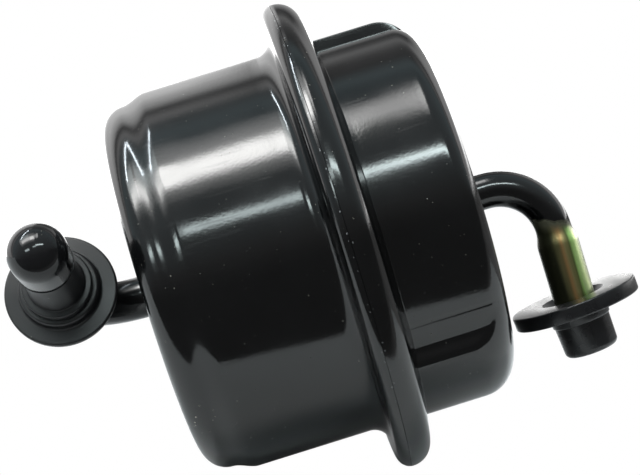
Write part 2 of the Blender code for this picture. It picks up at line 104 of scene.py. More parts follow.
# Inlet cap, by distance along the leg from the corner
INLET_DISC_BACK = 20.4 * MM
INLET_DISC_FRONT = 22.0 * MM
INLET_DISC_R = 12.5 * MM
INLET_FOOT_R = 8.9 * MM
INLET_FOOT_HEIGHT = 3.0 * MM
INLET_FOOT_FILLET = 0.6 * MM
INLET_RING_R = 7.7 * MM
INLET_RING_HEIGHT = 5.2 * MM
INLET_NECK_R = 5.6 * MM
INLET_NOSE_R = 6.4 * MM
INLET_NOSE_AT = 48.4 * MM
INLET_NOSE_EDGE = 41.6 * MM     # where the nose stands out from the neck
INLET_NOSE_ROUND = 0.15 * MM
INLET_CAP_EDGE = 0.5 * MM
INLET_CAP_MOUTH = 7.3 * MM
INLET_CAP_WALL_END = 46.0 * MM
CAP_MOUTH_DEPTH = 2.0 * MM      # depth of the funnel that leads into each cap's bore

# Outlet cap, by distance down the leg from the corner
OUTLET_DISC_TOP = 29.5 * MM
OUTLET_DISC_THICK = 3.4 * MM
OUTLET_DISC_R = 15.0 * MM
OUTLET_STUB_R = 7.0 * MM
OUTLET_STUB_END_R = 6.4 * MM
OUTLET_STUB_LENGTH = 10.2 * MM
OUTLET_STUB_FILLET = 0.6 * MM
OUTLET_STUB_STEP = 2.4 * MM
OUTLET_STUB_ROUND = 1.4 * MM
OUTLET_CAP_EDGE = 0.4 * MM
OUTLET_CAP_BORE = 5.5 * MM
OUTLET_CAP_MOUTH = 7.6 * MM
OUTLET_CAP_FLOOR = 2.0 * MM
OUTLET_CAP_LEAN = 4.0
OUTLET_CAP_PIVOT = 33.5 * MM

SHELL_SIDES = 288
PIPE_SIDES = 48
CAP_SIDES = 96
BRAZE_SIDES = 64
BEND_STEPS = 24
WIDENING_STEPS = 6
STEP_POINTS = 16
CROWN_STEPS = 12

# Camera, found from the outline: its distance from the can, its turn and tilts, and the point it looks at
CAMERA_DISTANCE = 400 * MM
CAMERA_YAW = 1.55
CAMERA_RISE = 3.0
CAMERA_ROLL = 17.1
CAMERA_AIM = Vector((-1.7 * MM, 0, 1.05 * MM))
CAMERA_LENS = 96.8
CAMERA_SENSOR = 36.0

# Stage
FLOOR_TILT = 17.0
FLOOR_REST = Vector((3.0 * MM, 0, -56.2 * MM))
FLOOR_FRONT = 70 * MM           # from the can's axis to the table's front edge
FLOOR_HALF = 0.45
FLOOR_DEEP = 0.6
LAMP_DISTANCE = 0.7             # from the can's axis


# ---------------------------------------------------------------- shapes


def arc(centre, radius, start, end, steps):
    """Points on an arc in (along, out) coordinates, from start to end degrees."""
    points = []
    for i in range(steps + 1):
        angle = math.radians(start + (end - start) * i / steps)
        points.append((centre[0] + radius * math.cos(angle), centre[1] + radius * math.sin(angle)))
    return points


def straight(start, end, steps):
    """Points between two (along, out) points, without the two ends."""
    points = []
    for i in range(1, steps):
        t = i / steps
        points.append((start[0] + (end[0] - start[0]) * t, start[1] + (end[1] - start[1]) * t))
    return points


def finish(bm, name, smooth_below=40.0):
    """Make an object of a closed mesh, with its faces pointing out."""
    bmesh.ops.remove_doubles(bm, verts=bm.verts, dist=1e-8)
    bmesh.ops.recalc_face_normals(bm, faces=bm.faces)
    mesh = bpy.data.meshes.new(name)
    bm.to_mesh(mesh)
    bm.free()
    mesh.shade_smooth()
    mesh.set_sharp_from_angle(angle=math.radians(smooth_below))
    made = bpy.data.objects.new(name, mesh)
    bpy.context.scene.collection.objects.link(made)
    return made


def skin(bm, rings, closed_rows):
    """Faces between neighbouring rings of vertices, each ring being a closed loop."""
    rows = list(zip(rings, rings[1:] + rings[:1])) if closed_rows else list(zip(rings, rings[1:]))
    for lower, upper in rows:
        for i in range(len(lower)):
            j = (i + 1) % len(lower)
            bm.faces.new((lower[i], lower[j], upper[j], upper[i]))


def turned(name, outline, sides, axis="X", smooth_below=40.0):
    """Spin a closed outline of (along, out) points about the X or the Z axis."""
    bm = bmesh.new()
    columns = []
    for i in range(sides):
        turn = math.tau * i / sides
        columns.append([bm.verts.new(place(a, r, turn, axis)) for a, r in outline])
    skin(bm, columns, closed_rows=True)
    bmesh.ops.remove_doubles(bm, verts=bm.verts, dist=1e-8)
    bmesh.ops.dissolve_degenerate(bm, edges=bm.edges, dist=1e-8)
    return finish(bm, name, smooth_below)


def place(along, out, turn, axis):
    """The point of an outline turned about an axis, 0 at -Y (or at +X about the Z axis)."""
    if axis == "X":
        return (along, -out * math.cos(turn), out * math.sin(turn))
    return (out * math.cos(turn), out * math.sin(turn), along)


def circle(bm, centre, across, up, radius, sides):
    """A ring of vertices round a point, in the plane of two unit vectors."""
    ring = []
    for i in range(sides):
        angle = math.tau * i / sides
        sideways = across * radius * math.cos(angle)
        upwards = up * radius * math.sin(angle)
        ring.append(bm.verts.new(centre + sideways + upwards))
    return ring


def pipe(name, stations, sides):
    """A hollow pipe, bent in one plane, through stations of (centre, direction, outer and inner radius)."""
    bm = bmesh.new()
    normal = stations[0][1].cross(stations[-1][1]).normalized()
    outer = []
    inner = []
    for centre, direction, r_out, r_in in stations:
        side = normal.cross(direction).normalized()
        outer.append(circle(bm, centre, side, normal, r_out, sides))
        inner.append(circle(bm, centre, side, normal, r_in, sides))
    skin(bm, outer + inner[::-1], closed_rows=True)
    return finish(bm, name)


def bend_stations(corner, towards, leaving, radius, steps):
    """Centres and directions round a bend whose two straight lines meet at corner."""
    half = 0.5 * towards.angle(leaving)
    reach = radius * math.tan(half)
    inward = (leaving - towards).normalized()
    centre = corner + inward * radius / math.cos(half)
    spoke = (corner - towards * reach) - centre
    axis = towards.cross(leaving).normalized()
    found = []
    for i in range(steps + 1):
        turn = Matrix.Rotation(2 * half * i / steps, 3, axis)
        found.append((centre + turn @ spoke, turn @ towards))
    return found


def ease(t):
    return t * t * (3 - 2 * t)


# ---------------------------------------------------------------- can


def body_side(inset):
    """The body's wall, corner and end from the flange fillet to the pipe hole, moved in by inset."""
    points = arc((-BODY_FOOT, BODY_R + BODY_FOOT), BODY_FOOT + inset, 0, -90, 10)
    drop = BODY_R - BODY_NOSE_R
    run = BODY_STEP_TO - BODY_STEP_FROM
    step = []
    for i in range(STEP_POINTS + 1):
        t = i / STEP_POINTS
        step.append((-BODY_STEP_FROM - run * t, BODY_R - inset - drop * ease(t)))
    points += straight(points[-1], step[0], 12) + step
    corner = (-BODY_LENGTH + BODY_CORNER, BODY_NOSE_R - BODY_CORNER)
    points += arc(corner, BODY_CORNER - inset, 85, 180, 14)
    points += crown(-BODY_LENGTH + inset, BODY_NOSE_R - BODY_CORNER, -BODY_CROWN, INLET_R + GAP)
    return points


def crown(end_x, edge_r, rise, hole_r):
    """A slightly domed end face, from its edge in to the pipe hole."""
    points = []
    for i in range(1, CROWN_STEPS + 1):
        r = edge_r + (hole_r - edge_r) * i / CROWN_STEPS
        share = r / edge_r
        points.append((end_x + rise * (1 - share * share), r))
    return points


# Slight dents of the body: place along X, degrees round it, size and depth
DENTS = [
    (-29.8 * MM, 34.0, 1.7 * MM, 0.13 * MM), (-29.0 * MM, 41.0, 3.0 * MM, 0.07 * MM),
    (-39.0 * MM, 22.0, 3.0 * MM, 0.10 * MM), (-12.0 * MM, 30.0, 7.0 * MM, 0.05 * MM),
    (-20.0 * MM, 50.0, 8.0 * MM, 0.06 * MM),
]


def press_dents(made):
    """Push the body's wall in at each dent, leaving its end face alone."""
    for vertex in made.data.vertices:
        x, y, z = vertex.co
        out = math.hypot(y, z)
        if out < BODY_NOSE_R - BODY_CORNER:
            continue
        turn = math.degrees(math.atan2(z, -y))
        for along, degrees, size, depth in DENTS:
            across = math.radians(turn - degrees) * out
            push = depth * math.exp(-((x - along) ** 2 + across ** 2) / (size * size))
            vertex.co.y -= push * y / out
            vertex.co.z -= push * z / out


def make_body():
    edge = arc((HEM_EDGE_R, HEM_FLAT_R), HEM_EDGE_R, HEM_EDGE_FROM, 180, 16)
    right = ROLL_CENTRE_X + ROLL_R * math.cos(math.radians(ROLL_LIP)) - HEM_SEAM
    corner = arc((right - HEM_CORNER, edge[0][1] - HEM_CORNER), HEM_CORNER, 0, 75, 4)
    hem = corner + edge
    face = straight(hem[-1], (0.0, BODY_R + BODY_FOOT), 6)
    outside = body_side(0.0)
    inside = body_side(SHEET)[::-1]
    fold = [(SHEET, HEM_INNER_R), (HEM_THICK, HEM_INNER_R)]
    fold += [(HEM_THICK, HEM_FLAT_R), (right, HEM_FLAT_R + HEM_CORNER)]
    made = turned("body_skin", hem + face + outside + inside + fold, SHELL_SIDES)
    press_dents(made)
    return made


def lid_side(inset, wall_r, foot, corner_r):
    """The lid's rim, wall, corner and end, moved in by inset. Its count of points is always the same."""
    slope = math.radians(ROLL_SLOPE)
    points = arc((ROLL_CENTRE_X, ROLL_CENTRE_R), ROLL_R - inset, ROLL_LIP, ROLL_SLOPE, 16)
    foot_out = wall_r + foot
    lean = (foot_out - ROLL_CENTRE_R) * math.sin(slope)
    foot_along = ROLL_CENTRE_X + (ROLL_R + foot - lean) / math.cos(slope)
    points += arc((foot_along, foot_out), foot + inset, 180 + ROLL_SLOPE, 270, 8)
    corner = arc((LID_LENGTH - corner_r, wall_r - corner_r), corner_r - inset, 90, 0, 16)
    points += straight(points[-1], corner[0], 16) + corner
    points += crown(LID_LENGTH - inset, LID_R - LID_CORNER, LID_CROWN, OUTLET_R + GAP)
    return points


def lid_column(inset, degrees, share):
    """The lid's outline at an angle round the axis.

    It lies between the panel (share 0) and the full wall (share 1). Share sets the upper step, and the angle
    sets the lower step and the crease. Columns beyond -180 degrees belong to the upper step alone.
    """
    low = lid_side(inset, LID_PANEL_R, PANEL_FOOT, PANEL_CORNER)
    high = lid_side(inset, LID_R, LID_FOOT, LID_CORNER)
    points = []
    for (a, b), (c, d) in zip(low, high):
        fade = ease(clamp((a - STEP_FADE_FROM) / (STEP_FADE_TO - STEP_FADE_FROM)))
        spread = 1 + (STEP_SPREAD - 1) * fade
        below = ease(clamp(0.5 + (STEP_MIDDLE - degrees) / (STEP_SPAN * spread)))
        full = share if degrees < -180 else max(share, below)
        dip = CREASE_DEPTH * math.exp(-(((degrees - CREASE_AT) / CREASE_WIDTH) ** 2))
        dip *= ease(clamp((a - CREASE_FROM) / CREASE_END)) * ease(clamp((CREASE_TO - a) / CREASE_END))
        points.append((a + (c - a) * full, b + (d - b) * full - dip))
    return points


def clamp(t):
    return min(max(t, 0.0), 1.0)


def step_columns(edge, rise, fillet, steps=7):
    """(degrees, share) columns over the panel's upper step: a fillet, the step's wall, and a fillet."""
    reach = math.degrees(fillet / LID_PANEL_R)
    depth = fillet / (LID_R - LID_PANEL_R)
    found = []
    for i in range(steps + 1):
        turn = 0.5 * math.pi * i / steps
        found.append((edge - reach * (1 - math.sin(turn)), depth * (1 - math.cos(turn))))
    for i in range(1, 6):
        t = i / 6
        found.append((edge + rise * t, depth + (1 - 2 * depth) * t))
    for i in range(steps + 1):
        turn = 0.5 * math.pi * i / steps
        found.append((edge + rise + reach * (1 - math.cos(turn)), 1 - depth * (1 - math.sin(turn))))
    return found


def even(start, end, count, share):
    """Evenly spaced (degrees, share) columns strictly between two angles."""
    return [(start + (end - start) * i / count, share) for i in range(1, count)]


def make_lid():
    top = step_columns(PANEL_TOP, PANEL_TOP_RISE, STEP_FILLET)
    fine_from = STEP_MIDDLE - 3 * STEP_SPAN
    fine_to = CREASE_AT + 4 * CREASE_WIDTH
    start = top[0][0]
    end = top[-1][0]
    columns = [(degrees - 360, share) for degrees, share in top]
    columns += even(end - 360, fine_from, round((fine_from - end + 360) / 2), 1.0)
    columns += [(fine_from, 0.0)] + even(fine_from, fine_to, 110, 0.0) + [(fine_to, 0.0)]
    columns += even(fine_to, start, round((start - fine_to) / 2), 0.0)
    bm = bmesh.new()
    rings = []
    for degrees, share in columns:
        outline = lid_column(0.0, degrees, share) + lid_column(SHEET, degrees, share)[::-1]
        rings.append([bm.verts.new(place(a, r, math.radians(degrees), "X")) for a, r in outline])
    skin(bm, rings, closed_rows=True)
    return finish(bm, "lid_skin")


def make_braze(name, face_x, pipe_r, sign):
    """The fillet of braze metal that closes the corner between a pipe and the can's end."""
    width = BRAZE_WIDTH
    inner = pipe_r + GAP
    start = face_x + sign * GAP
    first = 270 if sign > 0 else -90
    last = 180 if sign > 0 else 0
    curve = arc((start + sign * width, inner + width), width * BRAZE_HOLLOW, first, last, 8)
    outline = [(start, inner), (start + sign * width, inner)] + curve + [(start, inner + width)]
    return turned(name, outline, BRAZE_SIDES)


# ---------------------------------------------------------------- pipes


def inlet_leg_direction():
    rise = math.radians(INLET_LEG_RISE)
    lean = math.radians(INLET_LEG_LEAN)
    return Vector((math.sin(lean), -math.cos(rise) * math.cos(lean), math.sin(rise) * math.cos(lean)))


def make_inlet_pipe():
    towards = Vector((-1, 0, 0))
    leaving = inlet_leg_direction()
    corner = Vector((INLET_CORNER_X, 0, 0))
    bore = INLET_R - PIPE_WALL
    stations = [(Vector((INLET_START_X, 0, 0)), towards, INLET_R, bore)]
    for centre, direction in bend_stations(corner, towards, leaving, INLET_BEND, BEND_STEPS):
        stations.append((centre, direction, INLET_R, bore))
    stations.append((corner + leaving * INLET_LEG, leaving, INLET_R, bore))
    return pipe("inlet_pipe_skin", stations, PIPE_SIDES)


def make_outlet_pipe():
    towards = Vector((1, 0, 0))
    leaving = Vector((0, 0, -1))
    corner = Vector((OUTLET_CORNER_X, 0, 0))
    bore = OUTLET_R - PIPE_WALL
    end_bore = OUTLET_END_R - PIPE_WALL
    stations = [(Vector((OUTLET_START_X, 0, 0)), towards, OUTLET_R, bore)]
    for centre, direction in bend_stations(corner, towards, leaving, OUTLET_BEND, BEND_STEPS):
        stations.append((centre, direction, OUTLET_R, bore))
    for i in range(1, WIDENING_STEPS + 1):
        share = ease(i / WIDENING_STEPS)
        down = OUTLET_BEND + (OUTLET_WIDE_AT - OUTLET_BEND) * i / WIDENING_STEPS
        outer = OUTLET_R + (OUTLET_END_R - OUTLET_R) * share
        stations.append((corner + leaving * down, leaving, outer, outer - PIPE_WALL))
    stations.append((corner + leaving * OUTLET_LEG, leaving, OUTLET_END_R, end_bore))
    return pipe("outlet_pipe_skin", stations, PIPE_SIDES)


# ---------------------------------------------------------------- caps


def place_cap(made, corner, leg, axis, pivot):
    """Stand a cap, modelled along +Z from the pipe's corner, on its leg, turned to axis about the pivot."""
    turn = Vector((0, 0, 1)).rotation_difference(axis).to_matrix().to_4x4()
    stand = Matrix.Translation(corner + leg * pivot) @ turn @ Matrix.Translation((0, 0, -pivot))
    made.data.transform(stand)
    return made


def make_inlet_cap():
    """The cap with a disc, a stepped foot, a neck and a round nose."""
    bore = INLET_R + GAP
    edge = INLET_CAP_EDGE
    front = INLET_DISC_FRONT
    back = INLET_DISC_BACK
    foot_top = front + INLET_FOOT_HEIGHT
    ring_top = front + INLET_RING_HEIGHT
    foot_fillet = INLET_FOOT_FILLET
    nose_edge = INLET_NOSE_ROUND
    outline = [(back, INLET_CAP_MOUTH)]
    outline += arc((back + edge, INLET_DISC_R - edge), edge, 180, 90, 4)
    outline += arc((front - edge, INLET_DISC_R - edge), edge, 90, 0, 4)
    outline += arc((front + foot_fillet, INLET_FOOT_R + foot_fillet), foot_fillet, 180, 270, 5)
    outline += arc((foot_top - 0.7 * MM, INLET_FOOT_R - 0.75 * MM), 0.7 * MM, 85, 0, 5)
    outline += [(foot_top, INLET_RING_R + 0.05 * MM)]
    outline += arc((ring_top - 0.4 * MM, INLET_RING_R - 0.4 * MM), 0.4 * MM, 90, 0, 4)
    outline += arc((ring_top + 0.5 * MM, INLET_NECK_R + 1.1 * MM), 0.5 * MM, 180, 266, 4)
    outline += [(INLET_NOSE_EDGE, INLET_NECK_R)]
    outline += arc((INLET_NOSE_EDGE + nose_edge, INLET_NOSE_R - nose_edge), nose_edge, 180, 90, 4)
    outline += straight(outline[-1], (INLET_NOSE_AT, INLET_NOSE_R), 4)
    outline += arc((INLET_NOSE_AT, 0.0), INLET_NOSE_R, 90, 0, 24)[:-1]
    outline += [(INLET_NOSE_AT + INLET_NOSE_R, 0.0), (INLET_CAP_WALL_END + 1.0 * MM, 0.0)]
    outline += [(INLET_CAP_WALL_END, bore), (back + CAP_MOUTH_DEPTH, bore)]
    made = turned("inlet_cap_skin", outline, CAP_SIDES, axis="Z")
    leg = inlet_leg_direction()
    return place_cap(made, Vector((INLET_CORNER_X, 0, 0)), leg, leg, INLET_DISC_FRONT)


def make_outlet_cap():
    """The cap with a disc and a short tapered stub."""
    bore = OUTLET_CAP_BORE
    edge = OUTLET_CAP_EDGE
    top = OUTLET_DISC_TOP
    under = top + OUTLET_DISC_THICK
    step = under + OUTLET_STUB_STEP
    end = under + OUTLET_STUB_LENGTH
    fillet = OUTLET_STUB_FILLET
    round_r = OUTLET_STUB_ROUND
    floor = OUTLET_CAP_FLOOR
    outline = [(top, OUTLET_CAP_MOUTH)]
    outline += arc((top + edge, OUTLET_DISC_R - edge), edge, 180, 90, 4)
    outline += arc((under - edge, OUTLET_DISC_R - edge), edge, 90, 0, 4)
    outline += arc((under + fillet, OUTLET_STUB_R + fillet), fillet, 180, 270, 4)
    outline += [(step, OUTLET_STUB_R - 0.05 * MM), (step + 0.1 * MM, OUTLET_STUB_R - 0.1 * MM)]
    outline += [(step + 0.35 * MM, OUTLET_STUB_R - 0.4 * MM)]
    outline += arc((end - round_r, OUTLET_STUB_END_R - round_r), round_r, 85, 0, 8)
    outline += [(end, 0.0), (end - floor, 0.0), (end - floor, bore - 0.5 * MM)]
    outline += [(end - floor - 0.5 * MM, bore), (top + CAP_MOUTH_DEPTH, bore)]
    made = turned("outlet_cap_skin", outline, CAP_SIDES, axis="Z")
    lean = math.radians(OUTLET_CAP_LEAN)
    axis = Vector((math.sin(lean), 0, -math.cos(lean)))
    return place_cap(made, Vector((OUTLET_CORNER_X, 0, 0)), Vector((0, 0, -1)), axis, OUTLET_CAP_PIVOT)


# ---------------------------------------------------------------- materials


def add_ramp(tree, source, stops):
    """A colour ramp of (position, colour) stops, fed by a number between 0 and 1."""
    node = tree.nodes.new("ShaderNodeValToRGB")
    tree.links.new(source, node.inputs["Fac"])
    elements = node.color_ramp.elements
    while len(elements) < len(stops):
        elements.new(0.5)
    for element, (position, colour) in zip(elements, stops):
        element.position = position
        element.color = (*colour, 1.0)
    return node.outputs["Color"]


class Look:
    """A material under construction: its node tree, its shader, and short calls that add nodes."""

    def __init__(self, name):
        self.made = bpy.data.materials.new(name)
        self.made.use_nodes = True
        self.tree = self.made.node_tree
        self.shader = self.tree.nodes["Principled BSDF"]
        self.at = self.add("ShaderNodeTexCoord").outputs["Object"]

    def add(self, kind, **values):
        node = self.tree.nodes.new(kind)
        for key, value in values.items():
            setattr(node, key, value)
        return node

    def join(self, source, target):
        self.tree.links.new(source, target)

    def feed(self, node, slot, value):
        """Set an input to a number, or link it to an output."""
        if isinstance(value, bpy.types.NodeSocket):
            self.join(value, node.inputs[slot])
        else:
            node.inputs[slot].default_value = value

    def set(self, **values):
        for key, value in values.items():
            self.shader.inputs[key.replace("_", " ")].default_value = value

    def stretched(self, scale, turn=(0, 0, 0)):
        node = self.add("ShaderNodeMapping")
        self.join(self.at, node.inputs["Vector"])
        node.inputs["Scale"].default_value = scale
        node.inputs["Rotation"].default_value = turn
        return node.outputs["Vector"]

    def noise(self, scale, detail=2.0, roughness=0.5, at=None):
        node = self.add("ShaderNodeTexNoise")
        self.join(at or self.at, node.inputs["Vector"])
        self.feed(node, "Scale", scale)
        self.feed(node, "Detail", detail)
        self.feed(node, "Roughness", roughness)
        return node.outputs["Fac"]

    def span(self, value, low, high, to_low=0.0, to_high=1.0, smooth=False):
        node = self.add("ShaderNodeMapRange")
        node.interpolation_type = "SMOOTHSTEP" if smooth else "LINEAR"
        self.feed(node, "Value", value)
        self.feed(node, "From Min", low)
        self.feed(node, "From Max", high)
        self.feed(node, "To Min", to_low)
        self.feed(node, "To Max", to_high)
        return node.outputs["Result"]

    def math(self, operation, *values):
        node = self.add("ShaderNodeMath", operation=operation)
        for i, value in enumerate(values):
            self.feed(node, i, value)
        return node.outputs["Value"]

    def mix(self, share, low, high):
        node = self.add("ShaderNodeMix", data_type="RGBA")
        self.feed(node, "Factor", share)
        for slot, value in ((6, low), (7, high)):
            if isinstance(value, bpy.types.NodeSocket):
                self.join(value, node.inputs[slot])
            else:
                node.inputs[slot].default_value = (*value, 1.0)
        return node.outputs[2]

    def ramp(self, value, stops):
        return add_ramp(self.tree, value, stops)

    def specks(self, scale, size, share, at=None):
        """A mask of scattered dots: spacing by scale, size in cells, and the share of cells with a dot."""
        node = self.add("ShaderNodeTexVoronoi")
        self.join(at or self.at, node.inputs["Vector"])
        self.feed(node, "Scale", scale)
        pick = self.add("ShaderNodeSeparateColor")
        self.join(node.outputs["Color"], pick.inputs["Color"])
        chosen = self.math("LESS_THAN", pick.outputs["Red"], share)
        radius = self.span(pick.outputs["Green"], 0.0, 1.0, size * 0.4, size)
        inside = self.math("LESS_THAN", node.outputs["Distance"], radius)
        return self.math("MULTIPLY", chosen, inside)

    def parts(self):
        node = self.add("ShaderNodeSeparateXYZ")
        self.join(self.at, node.inputs["Vector"])
        return node.outputs["X"], node.outputs["Y"], node.outputs["Z"]

    def out_from_axis(self):
        _, y, z = self.parts()
        return self.math("SQRT", self.math("ADD", self.math("MULTIPLY", y, y), self.math("MULTIPLY", z, z)))

    def bump(self, *layers):
        """Bumps of (height output, depth in metres), one laid on another."""
        before = None
        for height, depth in layers:
            node = self.add("ShaderNodeBump")
            node.inputs["Strength"].default_value = 1.0
            node.inputs["Distance"].default_value = depth
            self.join(height, node.inputs["Height"])
            if before is not None:
                self.join(before, node.inputs["Normal"])
            before = node.outputs["Normal"]
        self.join(before, self.shader.inputs["Normal"])

    def colour(self, value):
        self.join(value, self.shader.inputs["Base Color"])

    def gloss(self, value):
        self.join(value, self.shader.inputs["Roughness"])

    def metal(self, value):
        self.join(value, self.shader.inputs["Metallic"])


ENAMEL = (0.0020, 0.0021, 0.0023)
ENAMEL_PALER = (0.0030, 0.0031, 0.0034)
ENAMEL_WORN = (0.012, 0.0125, 0.013)
DUST = (0.52, 0.50, 0.42)
FLECK = (0.62, 0.64, 0.66)
CAN_WAVES = 0.07 * MM           # depth of the enamel's long waves on the pressed cups, and on the pipes
PIPE_WAVES = 0.02 * MM
PEEL_DEPTH = 0.006 * MM
GRAIN_DEPTH = 0.008 * MM
DUST_HEIGHT = 0.01 * MM
ENAMEL_IOR = 1.58
SEAM_DUST_HALF = 0.45 * MM
SEAM_DUST_X = ROLL_CENTRE_X + (ROLL_R + 0.2 * MM) * math.cos(math.radians(ROLL_LIP))
OVERSPRAY_AT = (-39.0 * MM, -33.0 * MM, -26.5 * MM)
OVERSPRAY_FULL = 2.0 * MM       # the overspray is full within this distance of its middle
OVERSPRAY_END = 6.0 * MM        # and gone at this one
# Plating on the outlet pipe's end: the tilt of the enamel's lower edge, and heights measured square to it
PLATING_SLANT = 17.1
PLATING_FROM = 5.0 * MM         # the bare metal starts
PLATING_BARE = 4.0 * MM         # all of it is bare
PLATING_TINT_FROM = 4.2 * MM    # its colours start
PLATING_TINT_FULL = 1.4 * MM    # its colours are full
PLATING_RAGGED = 2.2 * MM       # how uneven the edge is
# The plating's colours round the pipe, from its -X side over -Y to its +X side, as in the photograph,
# with painted light in them: painted shade, near black, on the -X side and a painted highlight, pale green to
# white, on the +X side
FILM_WITH_PAINTED_LIGHT = [
    (0.00, (0.06, 0.065, 0.042)), (0.34, (0.11, 0.115, 0.065)), (0.41, (0.20, 0.19, 0.09)),
    (0.49, (0.52, 0.31, 0.13)), (0.56, (0.40, 0.33, 0.15)), (0.62, (0.20, 0.25, 0.09)),
    (0.67, (0.60, 0.95, 0.30)), (0.78, (0.88, 1.0, 0.55)), (1.00, (1.0, 1.0, 0.95)),
]
FILM_BEHIND_FROM = 1.7          # angles in radians from -Y where the plating's colours and painted light start to give way to one colour
FILM_BEHIND_TO = 2.9
KHAKI = (0.11, 0.11, 0.075)
KHAKI_BEHIND = (0.36, 0.34, 0.20)
# Caps
CAP_BLACK = (0.006, 0.006, 0.0066)
CAP_GLOSS = 0.08                # roughness of the inlet cap's nose
CAP_DULLING = 0.28              # what its neck and disc have on top
CAP_SATIN = 0.28                # roughness of the outlet cap
CAP_IOR = 1.51
CAP_SPECULAR = 0.38             # specular level of the inlet cap
CAP_FLOW_SMOOTH = 0.006 * MM
CAP_FLOW_MARKED = 0.02 * MM
CAP_GRAIN_DEPTH = 0.004 * MM
CAP_DUST_HEIGHT = 0.02 * MM
NOSE_MARGIN = 0.1 * MM          # how far before the nose's edge the gloss starts


def enamel(name, waves):
    """Gloss black enamel on pressed steel: orange peel, long waves, dust specks and hairline scratches."""
    look = Look(name)
    patch = look.noise(90.0, 3.0)
    scratch = look.noise(900.0, 1.0, at=look.stretched((0.09, 1.0, 1.0)))
    lines = look.span(scratch, 0.66, 0.70)
    settled = look.span(look.noise(70.0, 2.0), 0.45, 0.62, 0.25, 1.0)
    dust = look.math("MULTIPLY", look.specks(1150.0, 0.22, 0.08), settled)
    grit = look.specks(1500.0, 0.24, 0.05)
    base = look.mix(look.span(patch, 0.35, 0.75), ENAMEL, ENAMEL_PALER)
    base = look.mix(look.math("MULTIPLY", grit, 0.25), base, ENAMEL_WORN)
    base = look.mix(look.math("MULTIPLY", dust, 0.2), base, DUST)
    look.colour(base)
    rough = look.span(patch, 0.3, 0.7, 0.10, 0.155)
    rough = look.math("ADD", rough, look.math("MULTIPLY", lines, 0.04))
    rough = look.math("ADD", rough, look.math("MULTIPLY", grit, 0.1))
    look.gloss(rough)
    peel = look.noise(520.0, 2.0)
    grain = look.noise(1700.0, 1.0)
    long_wave = look.noise(38.0, 1.0, at=look.stretched((0.8, 1.0, 1.0)))
    look.bump((long_wave, waves), (peel, PEEL_DEPTH), (grain, GRAIN_DEPTH), (dust, DUST_HEIGHT))
    look.set(IOR=ENAMEL_IOR)
    return look


def can_enamel():
    """The can's enamel, with dust in the rim's seam and a patch of cream overspray low on the inlet side."""
    look = enamel("can_enamel", CAN_WAVES)
    x, _, _ = look.parts()
    from_seam = look.math("ABSOLUTE", look.math("SUBTRACT", x, SEAM_DUST_X))
    seam = look.math("LESS_THAN", from_seam, SEAM_DUST_HALF)
    rim = look.math("GREATER_THAN", look.out_from_axis(), HEM_FLAT_R + HEM_EDGE_R / 2)
    seam = look.math("MULTIPLY", seam, rim)
    flecks = look.math("MULTIPLY", seam, look.specks(1500.0, 0.33, 0.30))
    away = look.add("ShaderNodeVectorMath", operation="DISTANCE")
    look.join(look.at, away.inputs[0])
    away.inputs[1].default_value = OVERSPRAY_AT
    near = look.span(away.outputs["Value"], OVERSPRAY_FULL, OVERSPRAY_END, 1.0, 0.0)
    inside = look.math("GREATER_THAN", near, 0.02)
    drops = look.math("MULTIPLY", inside, look.specks(1250.0, 0.30, 0.20))
    base = look.shader.inputs["Base Color"].links[0].from_socket
    base = look.mix(look.math("MULTIPLY", flecks, 0.22), base, FLECK)
    look.colour(look.mix(look.math("MULTIPLY", drops, look.math("MULTIPLY", near, 0.5)), base, DUST))
    return look.made


def pipe_enamel():
    return enamel("pipe_enamel", PIPE_WAVES).made


def plated_pipe():
    """Black enamel down to a slanted edge, then yellow-passivated zinc with olive, pink and green streaks.

    Its colours also hold painted shade on the -X side and a painted highlight, pale green to white, on the +X
    side.
    """
    look = enamel("plated_pipe_end", PIPE_WAVES)
    x, y, z = look.parts()
    slant = look.math("ADD", z, look.math("MULTIPLY", x, math.tan(math.radians(PLATING_SLANT))))
    ragged = look.math("MULTIPLY", look.math("SUBTRACT", look.noise(500.0, 3.0), 0.5), PLATING_RAGGED)
    height = look.math("ADD", slant, ragged)
    bare = look.span(height, PLATING_FROM, PLATING_BARE, smooth=True)
    full = look.span(height, PLATING_TINT_FROM, PLATING_TINT_FULL, smooth=True)
    across = look.math("SUBTRACT", x, OUTLET_CORNER_X)
    turn = look.math("ARCTAN2", across, look.math("MULTIPLY", y, -1.0))
    streak = look.noise(330.0, 3.0, at=look.stretched((1.0, 1.0, 0.07)))
    shade = look.math("ADD", look.span(turn, -1.6, 1.6), look.span(streak, 0.0, 1.0, -0.16, 0.16))
    # The ramp holds painted light: painted shade, near black, on the pipe's -X side and a painted highlight,
    # pale green to white, on its +X side
    film_with_painted_light = look.ramp(shade, FILM_WITH_PAINTED_LIGHT)
    behind = look.span(look.math("ABSOLUTE", turn), FILM_BEHIND_FROM, FILM_BEHIND_TO, smooth=True)
    film_with_painted_light = look.mix(behind, film_with_painted_light, KHAKI_BEHIND)
    plating_with_painted_light = look.mix(full, KHAKI, film_with_painted_light)
    shader = look.shader
    black = shader.inputs["Base Color"].links[0].from_socket
    look.colour(look.mix(bare, black, plating_with_painted_light))
    smooth = shader.inputs["Roughness"].links[0].from_socket
    bare_gloss = look.span(streak, 0.3, 0.7, 0.24, 0.38)
    look.gloss(look.math("ADD", look.math("MULTIPLY", look.math("SUBTRACT", 1.0, bare), smooth),
                         look.math("MULTIPLY", bare, bare_gloss)))
    look.metal(look.math("MULTIPLY", bare, look.span(full, 0.0, 1.0, 0.55, 0.95)))
    return look.made


